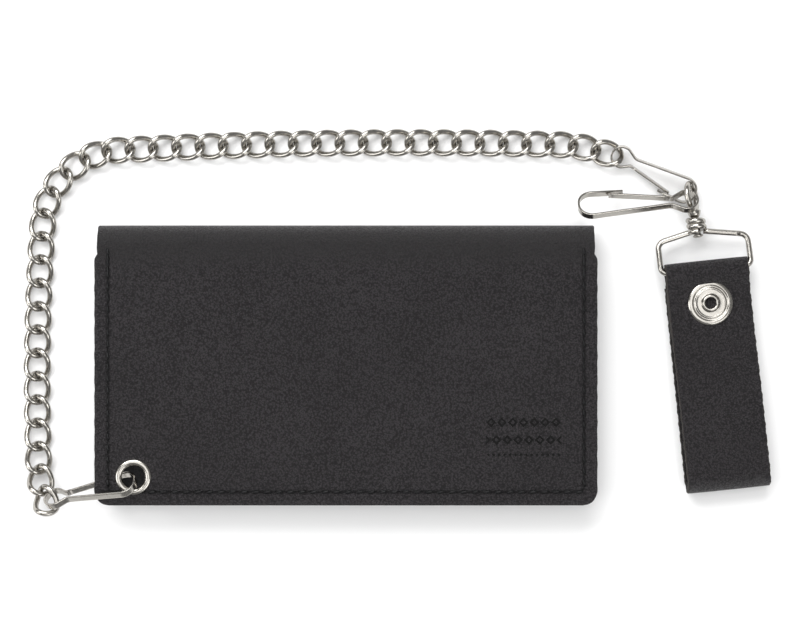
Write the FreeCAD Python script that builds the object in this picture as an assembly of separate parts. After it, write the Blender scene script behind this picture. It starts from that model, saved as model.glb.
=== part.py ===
import FreeCAD, Part
import math
import os
from FreeCAD import Matrix, Placement, Rotation, Vector

# Chain wallet: a long two-fold leather wallet, a curb chain held by a spring clip in the wallet's
# grommet, a second clip at the far end that hooks a swivel, a key clip on the same swivel, and a
# leather belt loop with a press stud. Millimetres. The wallet lies shut, hidden half down, with the
# centre of its underside at the origin; +X runs along the fold and +Y points at the fold.

# ---- driving dimensions -------------------------------------------------------------------------
WALLET_LENGTH = 172.0
WALLET_DEPTH = 96.0
WALLET_HEIGHT = 14.0
COVER = 1.4                  # thickness of the cover leather
LINING = 0.6                 # thickness of the thin inner leather
CORNER = 5.0                 # corner radius at the open edge
FOLD_Y = 41.0                # the flat panels end here and the spine begins
MID = WALLET_HEIGHT / 2
SEAM_IN = 4.2                # seam to edge
GROMMET = (-72.7, -38.3)
GROMMET_HOLE = 4.0
GROMMET_RIM = 6.2

WIRE = 0.92                  # radius of a chain link's wire
LINK_A = 5.1                 # half length of a link's centre line
LINK_B = 3.9                 # half width
LINK_C = 1.5                 # height of its twist
PITCH = 8.1
LINKS = 39
LINKS_PER_NODE = 2
CHAIN_START = (-103.69, -46.97, 8.38)
CHAIN_Z = LINK_C + WIRE + 0.03

STRIP = 0.7                  # thickness of the clips' spring steel
STRIP_WIDTH = 2.4
CLIP_LENGTH = 32.0
KEY_CLIP_LENGTH = 41.0
NECK = 1.5                   # half gap of a clip's neck

EYE_RADIUS = 4.4
EYE_WIRE = 1.0
STEM_RADIUS = 1.05
RING_WIRE = 1.0
RING_HALF = 15.6             # half width of the belt ring, to the wire's centre
COIL_RADIUS = 2.15

STRAP_WIDTH = 28.6
STRAP_LENGTH = 79.6
STRAP_TURN = 5.95            # the belt loop lies turned by this angle
STRAP_TOP = (123.9, 35.9)
STRAP_LEATHER = 2.0
SNAP_Y = -14.7               # press stud, measured from the strap's top edge
BAR_Z = 7.0

os.makedirs("parts", exist_ok=True)
UP = Vector(0, 0, 1)


# ---- helpers ------------------------------------------------------------------------------------
def save(name, shape):
    shape.exportStep(f"parts/{name}.step")


def box(x0, x1, y0, y1, z0, z1):
    return Part.makeBox(x1 - x0, y1 - y0, z1 - z0, Vector(x0, y0, z0))


def disc(x, y, z0, z1, radius):
    return Part.makeCylinder(radius, z1 - z0, Vector(x, y, z0))


def panel(x0, x1, y0, y1, z0, z1, radius=CORNER):
    """A flat leather panel whose two corners at the open edge (low y) are rounded."""
    solid = box(x0, x1, y0, y1, z0, z1)
    upright = [e for e in solid.Edges if e.BoundBox.ZLength > (z1 - z0) * 0.9]
    corners = [e for e in upright if e.BoundBox.YMax < y0 + 0.1]
    return solid.makeFillet(radius, corners)


def direction(heading, pitch):
    h, p = math.radians(heading), math.radians(pitch)
    return Vector(math.cos(h) * math.cos(p), math.sin(h) * math.cos(p), math.sin(p))


def axes(heading, pitch, roll):
    """Length, width and normal of a thing laid along a heading and pitch, then rolled about itself."""
    u = direction(heading, pitch)
    h = math.radians(heading)
    level = Vector(-math.sin(h), math.cos(h), 0)
    r = math.radians(roll)
    v = level * math.cos(r) + u.cross(level) * math.sin(r)
    return u, v, u.cross(v)


def placed(shape, origin, heading, pitch, roll):
    u, v, w = axes(heading, pitch, roll)
    o = Vector(*origin)
    matrix = Matrix(u.x, v.x, w.x, o.x, u.y, v.y, w.y, o.y, u.z, v.z, w.z, o.z, 0, 0, 0, 1)
    out = shape.copy()
    out.Placement = Placement(matrix).multiply(out.Placement)
    return out


def ribbon(points, thickness, width):
    """A strip bent on edge: points are (x, y, bend radius), the strip is centred on the path through
    them and stands from z = 0 to its width."""
    def side(offset):
        edges = []
        start = None
        last = len(points) - 1
        for i, (x, y, radius) in enumerate(points):
            here = Vector(x, y, 0)
            if i in (0, last):
                other = Vector(*points[1 if i == 0 else last - 1][:2], 0)
                run = (other - here if i == 0 else here - other).normalize()
                end = here + UP.cross(run) * offset
                if start is not None:
                    edges.append(Part.LineSegment(start, end).toShape())
                start = end
                continue
            before = (here - Vector(*points[i - 1][:2], 0)).normalize()
            after = (Vector(*points[i + 1][:2], 0) - here).normalize()
            turn = before.getAngle(after)
            left = 1 if before.cross(after).z > 0 else -1
            reach = radius * math.tan(turn / 2)
            centre = here - before * reach + UP.cross(before) * radius * left
            r = radius - offset * left
            a = centre - UP.cross(before) * r * left
            b = centre - UP.cross(after) * r * left
            half = (UP.cross(before) + UP.cross(after)).normalize()
            edges.append(Part.LineSegment(start, a).toShape())
            edges.append(Part.Arc(a, centre - half * r * left, b).toShape())
            start = b
        return edges, start

    left_edges, left_end = side(thickness / 2)
    right_edges, right_end = side(-thickness / 2)
    ends = [
        Part.LineSegment(left_end, right_end).toShape(),
        Part.LineSegment(left_edges[0].Vertexes[0].Point, right_edges[0].Vertexes[0].Point).toShape(),
    ]
    wire = Part.Wire(Part.__sortEdges__(left_edges + right_edges + ends))
    return Part.Face(wire).extrude(Vector(0, 0, width))


def wire_run(points, radius):
    """Round wire through points, with a ball at each bend."""
    solids = [Part.makeCylinder(radius, (q - p).Length, p, q - p) for p, q in zip(points, points[1:])]
    solids += [Part.makeSphere(radius, p) for p in points[1:-1]]
    return solids[0].multiFuse(solids[1:]).removeSplitter()


def washer(centre, low, high, hole, rim):
    x, y = centre
    return disc(x, y, low, high, rim).cut(disc(x, y, low - 1, high + 1, hole))


def tube_wall(centre, low, high, inner, outer):
    return washer(centre, low, high, inner, outer)


# ---- wallet -------------------------------------------------------------------------------------
X = WALLET_LENGTH / 2
Y = -WALLET_DEPTH / 2
IN = 1.0                     # inner layers stop this far inside the cover's edge
snap_xs = (-52.0, 52.0)
SNAP_Y_WALLET = -36.6


def seam_path(z0, z1, inset, width):
    """A U along both sides and the open edge: the bed of a seam, or its thread."""
    outer = panel(-X + inset, X - inset, Y + inset, FOLD_Y - 8, z0, z1, CORNER - 1)
    inner = panel(-X + inset + width, X - inset - width, Y + inset + width, FOLD_Y, z0 - 1, z1 + 1, CORNER - 2)
    return outer.cut(inner)


def snap_recess(z0, z1, radius):
    return [disc(x, SNAP_Y_WALLET, z0, z1, radius) for x in snap_xs]


# hidden half, from the table up: cover, pocket panel, three stepped card slots, window pocket
cover_front = panel(-X, X, Y, FOLD_Y, 0, COVER)
cover_front = cover_front.cut(seam_path(-1, 0.35, SEAM_IN, 0.8))
for recess in snap_recess(-1, 0.7, 6.0) + snap_recess(-1, COVER + 1, 2.1):
    cover_front = cover_front.cut(recess)
save("cover_front", cover_front)
save("seam_thread_front", seam_path(0.05, 0.3, SEAM_IN + 0.1, 0.6))

LAYER = 0.8
z = COVER + 0.05
bill_panel = panel(-X + IN, X - IN, Y + IN, 33, z, z + LAYER)
for hole in snap_recess(z - 1, z + LAYER + 1, 2.1):
    bill_panel = bill_panel.cut(hole)
save("bill_pocket_front", bill_panel)
slot_tops = (26.0, 12.0, -2.0)
for number, top in enumerate(slot_tops, start=1):
    z0 = COVER + 0.05 + number * (LAYER + 0.05)
    slot = panel(-X + IN + 1, -3.0, Y + IN, top, z0, z0 + LAYER, 3.0)
    for hole in snap_recess(z0 - 1, z0 + LAYER + 1, 2.1 if number < 3 else 5.4):
        slot = slot.cut(hole)
    save(f"card_slot_{number}", slot)

z0 = COVER + 0.05 + (LAYER + 0.05)
window_frame = panel(3.0, X - IN - 1, Y + IN, 26.0, z0 + 0.45, z0 + 0.45 + 1.0, 3.0)
window_frame = window_frame.cut(box(12, 74, -26, 17, 0, 10))
for hole in snap_recess(0, 10, 5.4):
    window_frame = window_frame.cut(hole)
save("window_frame", window_frame)
pane = panel(4.0, X - IN - 2, -32.0, 25.0, z0 + 0.02, z0 + 0.42, 2.0)
save("window_pane", pane)

# press studs that hold the wallet shut: cap and socket in the hidden half, post and stud in the other
snap_top = COVER + 0.05 + 3 * (LAYER + 0.05)
caps = []
sockets = []
for x in snap_xs:
    cap = disc(x, SNAP_Y_WALLET, 0.0, 0.65, 5.9).fuse(tube_wall((x, SNAP_Y_WALLET), 0.6, 4.2, 1.3, 2.0))
    caps.append(cap)
    base = washer((x, SNAP_Y_WALLET), snap_top + 0.05, snap_top + 0.55, 2.05, 5.2)
    wall = tube_wall((x, SNAP_Y_WALLET), snap_top + 0.5, snap_top + 2.0, 3.0, 4.2)
    sockets.append(base.fuse(wall))
save("wallet_snap_caps", Part.makeCompound(caps))
save("wallet_snap_sockets", Part.makeCompound(sockets))

# visible half, from the top down: cover, lining, zip pocket with its tape, teeth, slider and pull
TOP = WALLET_HEIGHT
gx, gy = GROMMET
cover_back = panel(-X, X, Y, FOLD_Y, TOP - COVER, TOP)
cover_back = cover_back.cut(disc(gx, gy, 0, 20, GROMMET_HOLE + 0.45))
cover_back = cover_back.cut(seam_path(TOP - 0.35, TOP + 1, SEAM_IN, 0.8))
cover_back = cover_back.cut(washer(GROMMET, TOP - 0.45, TOP + 1, GROMMET_HOLE, GROMMET_RIM + 0.1))
save("cover_back", cover_back)
thread = seam_path(TOP - 0.3, TOP - 0.05, SEAM_IN + 0.1, 0.6)
save("seam_thread_back", thread.cut(disc(gx, gy, 0, 20, GROMMET_RIM + 0.3)))

lining = panel(-X + IN, X - IN, Y + IN, 36, TOP - COVER - LINING, TOP - COVER - 0.03)
lining = lining.cut(disc(gx, gy, 0, 20, GROMMET_HOLE + 0.45))
lining = lining.cut(washer(GROMMET, 0, TOP - COVER - LINING + 0.33, GROMMET_HOLE, GROMMET_RIM + 0.1))
save("lining_back", lining)

ZIP_X = (-50.0, 70.0)
ZIP_Y = 20.0
CLEAR_X = -56.0              # the pocket stops short of the grommet's corner and its clip
pocket_z = TOP - COVER - LINING - 1.6
pocket_back = panel(CLEAR_X, X - IN - 1, Y + IN, 30, pocket_z + 0.9, pocket_z + 1.5, 3.0)
save("pocket_back_wall", pocket_back)
pocket_front = panel(CLEAR_X, X - IN - 1, Y + IN, 30, pocket_z, pocket_z + 0.8, 3.0)
pocket_front = pocket_front.cut(box(ZIP_X[0], ZIP_X[1], ZIP_Y - 4, ZIP_Y + 4, 0, 20))
for x in snap_xs:
    pocket_front = pocket_front.cut(disc(x, SNAP_Y_WALLET, 0, 20, 1.6))
save("pocket_front_wall", pocket_front)
tapes = [
    box(ZIP_X[0] + 0.1, ZIP_X[1] - 0.1, ZIP_Y + s * 2.6 - 1.3, ZIP_Y + s * 2.6 + 1.3, pocket_z + 0.1, pocket_z + 0.6)
    for s in (-1, 1)
]
save("zip_tape", Part.makeCompound(tapes))
TOOTH = 2.4
teeth = []
count = int((ZIP_X[1] - ZIP_X[0] - 6) / TOOTH)
for i in range(count):
    x = ZIP_X[0] + 3 + i * TOOTH
    teeth.append(box(x, x + 1.0, ZIP_Y - 1.25, ZIP_Y + 0.2, pocket_z + 0.1, pocket_z + 0.7))
    teeth.append(box(x + 1.2, x + 2.2, ZIP_Y - 0.2, ZIP_Y + 1.25, pocket_z + 0.1, pocket_z + 0.7))
save("zip_teeth", Part.makeCompound(teeth))
SLIDER_X = ZIP_X[0] + 4
slider_low = pocket_z - 1.0
slider = box(SLIDER_X - 3.5, SLIDER_X + 3.5, ZIP_Y - 2.2, ZIP_Y + 2.2, slider_low + 0.35, slider_low + 1.05)
lug = box(SLIDER_X - 1.6, SLIDER_X - 0.4, ZIP_Y - 0.6, ZIP_Y + 0.6, slider_low - 0.9, slider_low + 0.4)
slider = slider.fuse(lug).removeSplitter()
save("zip_slider", slider)
PULL_PIN = Vector(SLIDER_X - 1.0, ZIP_Y, slider_low - 0.45)
pull = box(SLIDER_X - 0.2, SLIDER_X + 16, ZIP_Y - 2.2, ZIP_Y + 2.2, slider_low - 0.85, slider_low - 0.15)
fork = [box(SLIDER_X - 1.6, SLIDER_X, ZIP_Y + s * 1.45 - 0.75, ZIP_Y + s * 1.45 + 0.75, slider_low - 0.85,
            slider_low - 0.15) for s in (-1, 1)]
save("zip_pull", pull.multiFuse(fork).removeSplitter())

posts = []
studs = []
for x in snap_xs:
    head = disc(x, SNAP_Y_WALLET, pocket_z + 0.82, pocket_z + 0.88, 3.0)
    posts.append(head.fuse(disc(x, SNAP_Y_WALLET, snap_top + 1.5, pocket_z + 0.84, 1.2)))
    flange = washer((x, SNAP_Y_WALLET), pocket_z - 0.6, pocket_z - 0.05, 1.25, 4.6)
    knob = tube_wall((x, SNAP_Y_WALLET), snap_top + 1.1, pocket_z - 0.5, 1.25, 2.6)
    studs.append(flange.fuse(knob))
save("wallet_snap_posts", Part.makeCompound(posts))
save("wallet_snap_studs", Part.makeCompound(studs))

# grommet: rolled rim above, barrel through the leather, washer under the lining
rim = Part.makeTorus(5.1, 1.0, Vector(gx, gy, TOP - 0.65), UP)
rim = rim.common(box(gx - 9, gx + 9, gy - 9, gy + 9, TOP - 0.42, TOP + 3))
barrel = tube_wall(GROMMET, TOP - COVER - LINING, TOP - 0.1, GROMMET_HOLE, GROMMET_HOLE + 0.4)
save("grommet", rim.fuse(barrel).removeSplitter())
save("grommet_washer", washer(GROMMET, TOP - COVER - LINING, TOP - COVER - LINING + 0.3, GROMMET_HOLE + 0.45, GROMMET_RIM))

# spine: half-round leather that joins the two covers round the fold
SPINE_OUT = MID - 0.02
outer_spine = Part.makeCylinder(SPINE_OUT, WALLET_LENGTH, Vector(-X, FOLD_Y, MID), Vector(1, 0, 0))
inner_spine = Part.makeCylinder(SPINE_OUT - COVER, WALLET_LENGTH + 2, Vector(-X - 1, FOLD_Y, MID), Vector(1, 0, 0))
spine = outer_spine.cut(inner_spine).cut(box(-X - 1, X + 1, -100, FOLD_Y + 0.05, -1, 20))
save("cover_spine", spine)


# ---- spring clips -------------------------------------------------------------------------------
def clip_frame(length, lobe, neck_at, big):
    """One bent strip: from the neck round the small lobe, along the back leg, round the big lobe, and
    back to the hook that the gate shuts behind."""
    points = [
        (neck_at + 0.3, NECK + 0.1, 0),
        (neck_at - 0.6, NECK, 1.2),
        (lobe * 1.27, lobe, 2.4),
        (0, lobe, lobe - 0.15),
        (0, -lobe, lobe - 0.15),
        (lobe * 1.27, -lobe, 2.4),
        (neck_at, -NECK, 3.0),
        (length, -big * 1.03, big * 0.9),
        (length, big + 0.35, big * 0.9),
        (length * 0.62, big + 0.35, 0),
    ]
    return ribbon(points, STRIP, STRIP_WIDTH).translated(Vector(0, 0, -STRIP_WIDTH / 2))


def clip_gate(length, neck_at, big):
    points = [(neck_at + 0.45, NECK + 0.15, 0), (length * 0.74, big - 0.6, 0)]
    return ribbon(points, STRIP, STRIP_WIDTH - 0.2).translated(Vector(0, 0, -STRIP_WIDTH / 2 + 0.1))


def route():
    """Centre, heading and pitch of each link. The chain leaves the wallet's clip, drops to the table,
    runs beside the wallet, turns the corner in five equal steps and crosses above the fold."""
    places = []
    for i in range(LINKS):
        pitch = (-30.8, -22, -6)[i] if i < 3 else 0
        if i < 2:
            heading = (113.8, 103)[i]
        elif i < 13:
            heading = 92 - (i - 2) * 0.6
        elif i < 18:
            heading = 86 - (i - 12) * 16.6
        elif i < LINKS - 2:
            heading = 3.0 - (i - 17) * 0.24
        else:
            heading = (-13, -16.5)[i - LINKS + 2]
            pitch = (0, 3.3)[i - LINKS + 2]
        places.append((heading, pitch))
    centre = Vector(*CHAIN_START)
    out = [(centre, *places[0])]
    for before, after in zip(places, places[1:]):
        centre = centre + (direction(*before) + direction(*after)) * (PITCH / 2)
        out.append((centre, *after))
    return out


def link():
    """One curb link: an ellipse in plan whose height swings twice round, as round wire in 16 short
    straight runs with a ball at each bend."""
    count = 16
    points = []
    for i in range(count):
        t = 2 * math.pi * i / count
        points.append(Vector(LINK_A * math.cos(t), LINK_B * math.sin(t), -LINK_C * math.sin(2 * t)))
    solids = []
    for p, q in zip(points, points[1:] + points[:1]):
        solids.append(Part.makeCylinder(WIRE, (q - p).Length, p, q - p))
        solids.append(Part.makeSphere(WIRE, p))
    return solids[0].multiFuse(solids[1:])


LINK = link()
END_ROLLS = {0: -9.1, LINKS - 1: -1.4}
places = route()
for group in range(0, LINKS, LINKS_PER_NODE):
    links = []
    for i in range(group, min(group + LINKS_PER_NODE, LINKS)):
        roll = END_ROLLS.get(i, 0)
        links.append(placed(LINK, *places[i], roll))
    save(f"chain_{group // LINKS_PER_NODE + 1:02d}", Part.makeCompound(links))

# wallet clip through the grommet
CLIP_A = dict(origin=(-103.44, -46.7, 8.77), heading=11.6, pitch=12.2, roll=-49.4)
save("wallet_clip", placed(clip_frame(33.0, 3.6, 8.2, 4.7), **CLIP_A))
save("wallet_clip_gate", placed(clip_gate(33.0, 8.2, 4.7), **CLIP_A))

# belt clip, swivel eye and key clip hang off the last link
last = places[LINKS - 2][0]
BELT_CLIP = dict(origin=last + Vector(9.74, -1.55, 0.68), heading=-27.25, pitch=1.15, roll=199.1)
save("belt_clip", placed(clip_frame(CLIP_LENGTH, 3.6, 8.2, 4.4), **BELT_CLIP))
save("belt_clip_gate", placed(clip_gate(CLIP_LENGTH, 8.2, 4.4), **BELT_CLIP))
KEY_CLIP = dict(origin=last + Vector(38.52, -18.67, 5.65), heading=182.8, pitch=-0.8, roll=217.4)
save("key_clip", placed(clip_frame(KEY_CLIP_LENGTH, 3.9, 9.2, 5.0), **KEY_CLIP))
save("key_clip_gate", placed(clip_gate(KEY_CLIP_LENGTH, 9.2, 5.0), **KEY_CLIP))

eye_centre = last + Vector(36.75, -16.96, 2.57)
EYE = dict(heading=99.0, pitch=-3.1, roll=244.5)
stem_u, eye_v, eye_w = axes(**EYE)
eye = Part.makeTorus(EYE_RADIUS, EYE_WIRE, eye_centre, eye_w)
STEM_LENGTH = 9.1
stem_top = eye_centre - stem_u * (EYE_RADIUS + 0.2)
stem = Part.makeCylinder(STEM_RADIUS, STEM_LENGTH, stem_top, stem_u * -1)
head = Part.makeCylinder(1.8, 0.9, stem_top - stem_u * STEM_LENGTH, stem_u * -1)
save("swivel_eye", eye.multiFuse([stem, head]))

# ---- belt ring and strap, in the strap's own turned frame -------------------------------------
strap_place = Placement(Vector(*STRAP_TOP, 0), Rotation(UP, STRAP_TURN))
back = strap_place.inverse()


def in_strap(shape):
    out = shape.copy()
    out.Placement = strap_place.multiply(out.Placement)
    return out


coil_middle = eye_centre - stem_u * (EYE_RADIUS + 6.2)
coils = [Part.makeTorus(COIL_RADIUS, RING_WIRE, coil_middle - stem_u * step, stem_u) for step in (-1.9, 0, 1.9)]
low_turn = back.multVec(coil_middle - stem_u * 1.9)
BAR_Y = -3.0
RING_TOP = low_turn.y - 2.6
ring_points = [Vector(low_turn.x - COIL_RADIUS, low_turn.y, low_turn.z), Vector(-RING_HALF, RING_TOP, low_turn.z - 0.5),
        Vector(-RING_HALF, BAR_Y, BAR_Z), Vector(RING_HALF, BAR_Y, BAR_Z),
        Vector(RING_HALF, RING_TOP, low_turn.z - 0.5), Vector(low_turn.x + COIL_RADIUS, low_turn.y, low_turn.z)]
ring = in_strap(wire_run(ring_points, RING_WIRE))
for coil in coils:
    ring = ring.fuse(coil)
save("belt_ring", ring)

# the strap's outer layer: back flap, round the ring's bar, along the top, to the bottom fold
HALF = STRAP_WIDTH / 2
T = STRAP_LEATHER
FOLD_END = -STRAP_LENGTH + 5.2
FOLD_Z = 5.2
SNAP = (0.0, SNAP_Y)


def strap_solid(points):
    solid = ribbon(points, T, STRAP_WIDTH)
    # path's x is the strap's y, path's y is height, the ribbon's width runs across the strap
    solid.Placement = Placement(Matrix(0, 0, 1, -HALF, 1, 0, 0, 0, 0, 1, 0, 0, 0, 0, 0, 1))
    return solid


wrap = RING_WIRE + 0.12 + T / 2
flap_z = BAR_Z - wrap
front_path = [
    (-24.0, flap_z, 0),
    (BAR_Y + wrap, BAR_Z - wrap, wrap * 0.86),
    (BAR_Y + wrap, BAR_Z + wrap, wrap * 0.86),
    (BAR_Y - 1.2, BAR_Z + wrap, 1.3),
    (BAR_Y - 3.5, flap_z + T + 0.15, 1.3),
    (-26.0, flap_z + T + 0.15, 30),
    (-48.0, FOLD_Z + 3.9, 30),
    (FOLD_END + 2.0, FOLD_Z + 4.15, 0),
]
strap_front = strap_solid(front_path)
strap_front = strap_front.cut(disc(*SNAP, 2.0, 12, 2.6))
save("strap_front", in_strap(strap_front))
strap_back = box(-HALF, HALF, FOLD_END + 2.0, -8.0, 0, T)
strap_back = strap_back.cut(disc(*SNAP, -1, 0.85, 7.2)).cut(disc(*SNAP, -1, 3, 2.6))
save("strap_back", in_strap(strap_back))
fold_path = [
    (FOLD_END + 1.95, FOLD_Z + 4.15, 0),
    (-STRAP_LENGTH + T / 2, FOLD_Z + 4.15, 4.0),
    (-STRAP_LENGTH + T / 2, 1.0, 4.0),
    (FOLD_END + 1.95, 1.0, 0),
]
save("strap_fold", in_strap(strap_solid(fold_path)))

# press stud: eyelet on the front, stud under the flap, socket and cap in the back layer
front_top = flap_z + 1.5 * T + 0.15
flap_low = flap_z - T / 2
eyelet = washer(SNAP, front_top + 0.02, front_top + 0.7, 1.9, 7.7)
eyelet = eyelet.fuse(washer(SNAP, front_top + 0.6, front_top + 1.3, 1.9, 3.2))
eyelet = eyelet.fuse(tube_wall(SNAP, flap_low - 0.2, front_top + 0.7, 1.9, 2.5)).removeSplitter()
save("belt_snap_eyelet", in_strap(eyelet))
stud = washer(SNAP, flap_low - 0.6, flap_low - 0.05, 2.55, 5.6)
stud = stud.fuse(tube_wall(SNAP, T + 0.3, flap_low - 0.25, 2.55, 3.0)).removeSplitter()
save("belt_snap_stud", in_strap(stud))
socket = washer(SNAP, T + 0.02, T + 0.45, 3.1, 5.6).fuse(tube_wall(SNAP, T + 0.4, flap_low - 0.7, 3.1, 4.1))
save("belt_snap_socket", in_strap(socket.removeSplitter()))
cap = disc(*SNAP, 0.0, 0.8, 7.1).fuse(disc(*SNAP, 0.7, T + 0.2, 2.4)).removeSplitter()
save("belt_snap_cap", in_strap(cap))
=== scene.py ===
import bmesh
import bpy
import numpy as np
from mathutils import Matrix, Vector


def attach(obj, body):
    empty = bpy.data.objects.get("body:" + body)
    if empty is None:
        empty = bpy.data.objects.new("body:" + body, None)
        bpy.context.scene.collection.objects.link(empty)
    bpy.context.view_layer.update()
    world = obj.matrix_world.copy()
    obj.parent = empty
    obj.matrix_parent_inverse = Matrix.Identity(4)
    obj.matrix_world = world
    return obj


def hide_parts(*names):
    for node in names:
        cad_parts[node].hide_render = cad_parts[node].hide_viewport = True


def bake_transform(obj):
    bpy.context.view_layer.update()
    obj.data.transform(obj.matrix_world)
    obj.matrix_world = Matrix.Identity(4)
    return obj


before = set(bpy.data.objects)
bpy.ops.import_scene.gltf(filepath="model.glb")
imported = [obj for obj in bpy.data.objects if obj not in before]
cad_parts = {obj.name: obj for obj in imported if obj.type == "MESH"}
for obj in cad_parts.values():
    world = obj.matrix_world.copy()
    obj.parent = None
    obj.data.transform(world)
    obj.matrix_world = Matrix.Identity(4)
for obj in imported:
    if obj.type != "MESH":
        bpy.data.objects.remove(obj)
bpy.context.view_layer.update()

# ---- Cover leather ------------------------------------------------------------------------------
# One piece of 1.4 mm black cowhide makes both covers and wraps the fold. It is die cut, its edges are
# left raw, and the lower corners are rounded. A press has marked a small row pattern on it.
# Sizes are in millimetres, and heights are measured up from the table.
HALF_LENGTH = 86.0
OPEN_EDGE = -48.0
FOLD_START = 41.0
SPINE = 7.0
COVER = 1.4
TOP = 14.0
GROMMET = np.array([-72.7, -38.3])
SEAM_X, SEAM_Y, SEAM_END = 81.4, -43.4, 39.0


def tone(material, socket, value):
    """A constant, set on the shader's own socket."""
    material.node_tree.nodes["Principled BSDF"].inputs[socket].default_value = value


def wire_up(material, start, finish):
    """A link from one node's output to another's input."""
    material.node_tree.links.new(start, finish)


def feed(material, output, socket):
    """An output joined to the shader's own socket."""
    wire_up(material, output, material.node_tree.nodes["Principled BSDF"].inputs[socket])


def sums(material, operation, first, second=None):
    """One arithmetic node; a number is set on its socket, an output is joined to it."""
    node = material.node_tree.nodes.new("ShaderNodeMath")
    node.operation = operation
    for place, value in enumerate((first, second)):
        if value is None:
            continue
        if isinstance(value, (int, float)):
            node.inputs[place].default_value = value
        else:
            wire_up(material, value, node.inputs[place])
    return node.outputs[0]


def grain(material, coords, kind, scale, **values):
    """A noise or cell texture on object coordinates; scale is cells to the metre."""
    node = material.node_tree.nodes.new(kind)
    node.inputs["Scale"].default_value = scale
    for key, value in values.items():
        node.inputs[key].default_value = value
    wire_up(material, coords, node.inputs["Vector"])
    return node


def blank(name):
    """A new material and its Object coordinates."""
    material = bpy.data.materials.new(name)
    material.use_nodes = True
    coords = material.node_tree.nodes.new("ShaderNodeTexCoord").outputs["Object"]
    return material, coords


def relief(material, height, distance, under=None):
    """A bump from a height, laid over another bump if one is given."""
    node = material.node_tree.nodes.new("ShaderNodeBump")
    node.inputs["Distance"].default_value = distance
    wire_up(material, height, node.inputs["Height"])
    if under is not None:
        wire_up(material, under, node.inputs["Normal"])
    return node.outputs["Normal"]


def shade_mix(material, factor, dark, light):
    """A colour that runs from dark to light as the factor runs from 0 to 1."""
    ramp = material.node_tree.nodes.new("ShaderNodeValToRGB")
    ramp.color_ramp.elements[0].color = (*dark, 1)
    ramp.color_ramp.elements[1].color = (*light, 1)
    wire_up(material, factor, ramp.inputs["Fac"])
    return ramp.outputs["Color"]


def spread(material, factor, low, high):
    """A number that runs from low to high as the factor runs from 0 to 1."""
    node = material.node_tree.nodes.new("ShaderNodeMapRange")
    node.inputs["To Min"].default_value = low
    node.inputs["To Max"].default_value = high
    wire_up(material, factor, node.inputs["Value"])
    return node.outputs["Result"]


def washed(material, share, under, colour):
    """A plain colour laid over another by a share from 0 to 1."""
    node = material.node_tree.nodes.new("ShaderNodeMix")
    node.data_type = "RGBA"
    wire_up(material, share, node.inputs["Factor"])
    wire_up(material, under, node.inputs["A"])
    node.inputs["B"].default_value = (*colour, 1)
    return node.outputs["Result"]


def hide_leather(name, dark, light, pebble, depth, gloss):
    """Black leather: pebbles from cells, pores from fine noise, slow cloudy change of tone and gloss.
    Its height is pores - 0.8 cells, and its tint 0.25 clouds + 1.5 pores - 0.9 cells, so the tint follows
    the
    height: raised grain is painted lighter and the hollows between pebbles darker, as painted highlight and
    shade."""
    material, coords = blank(name)
    cells = grain(material, coords, "ShaderNodeTexVoronoi", pebble)
    pores = grain(material, coords, "ShaderNodeTexNoise", pebble * 2.6, Detail=3.0)
    clouds = grain(material, coords, "ShaderNodeTexNoise", 55.0, Detail=4.0)
    sunk = sums(material, "MULTIPLY", cells.outputs["Distance"], -0.8)
    normal = relief(material, sums(material, "ADD", sunk, pores.outputs["Fac"]), depth)
    # Painted light on the grain: pores and pebble rims set the tint as they set the height, a painted
    # highlight on raised grain and painted shade in its hollows.
    pore_shading = sums(material, "MULTIPLY", pores.outputs["Fac"], 1.5)
    pebble_shading = sums(material, "MULTIPLY", cells.outputs["Distance"], -0.9)
    cloudy = sums(material, "MULTIPLY", clouds.outputs["Fac"], 0.25)
    tint = sums(material, "ADD", cloudy, sums(material, "ADD", pore_shading, pebble_shading))
    colour = shade_mix(material, spread(material, tint, -0.6, 1.7), dark, light)
    feed(material, colour, "Base Color")
    feed(material, spread(material, tint, *gloss), "Roughness")
    feed(material, normal, "Normal")
    tone(material, "Specular IOR Level", 0.36)
    return material, coords, colour, normal


COWHIDE = dict(dark=(0.0150, 0.0134, 0.0146), light=(0.060, 0.0545, 0.0588), pebble=1500.0,
               depth=0.0014, gloss=(0.54, 0.32))
black_hide = hide_leather("black_pebbled_hide", **COWHIDE)[0]
raw_edge, edge_coords = blank("raw_leather_edge")
fibres = grain(raw_edge, edge_coords, "ShaderNodeTexNoise", 2600.0, Detail=5.0, Distortion=1.5)
fibre_tint = shade_mix(raw_edge, fibres.outputs["Fac"], (0.006, 0.005, 0.005), (0.05, 0.042, 0.036))
feed(raw_edge, fibre_tint, "Base Color")
feed(raw_edge, relief(raw_edge, fibres.outputs["Fac"], 0.0004), "Normal")
tone(raw_edge, "Roughness", 0.85)


# Each pressed row: its middle and step in metres, its shift in steps and its marks' reach in mm.
MOTIF_ROWS = ((-0.0196, 0.0037, 0.0, 1.75), (-0.0256, 0.0037, 0.5, 1.75), (-0.0307, 0.00185, 0.0, 0.62))
MOTIF_LEFT, MOTIF_RIGHT, MOTIF_LINE = 0.0478, 0.0737, 1.0
# The first colour darkens the pressed marks and also paints shade into the seam's groove; the second paints
# a pale sheen on the band round the fold.
PRESSED_BLACK_AND_SEAM_SHADE, FOLD_SHEEN_GREY = (0.0015, 0.0015, 0.0015), (0.034, 0.032, 0.033)


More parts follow.
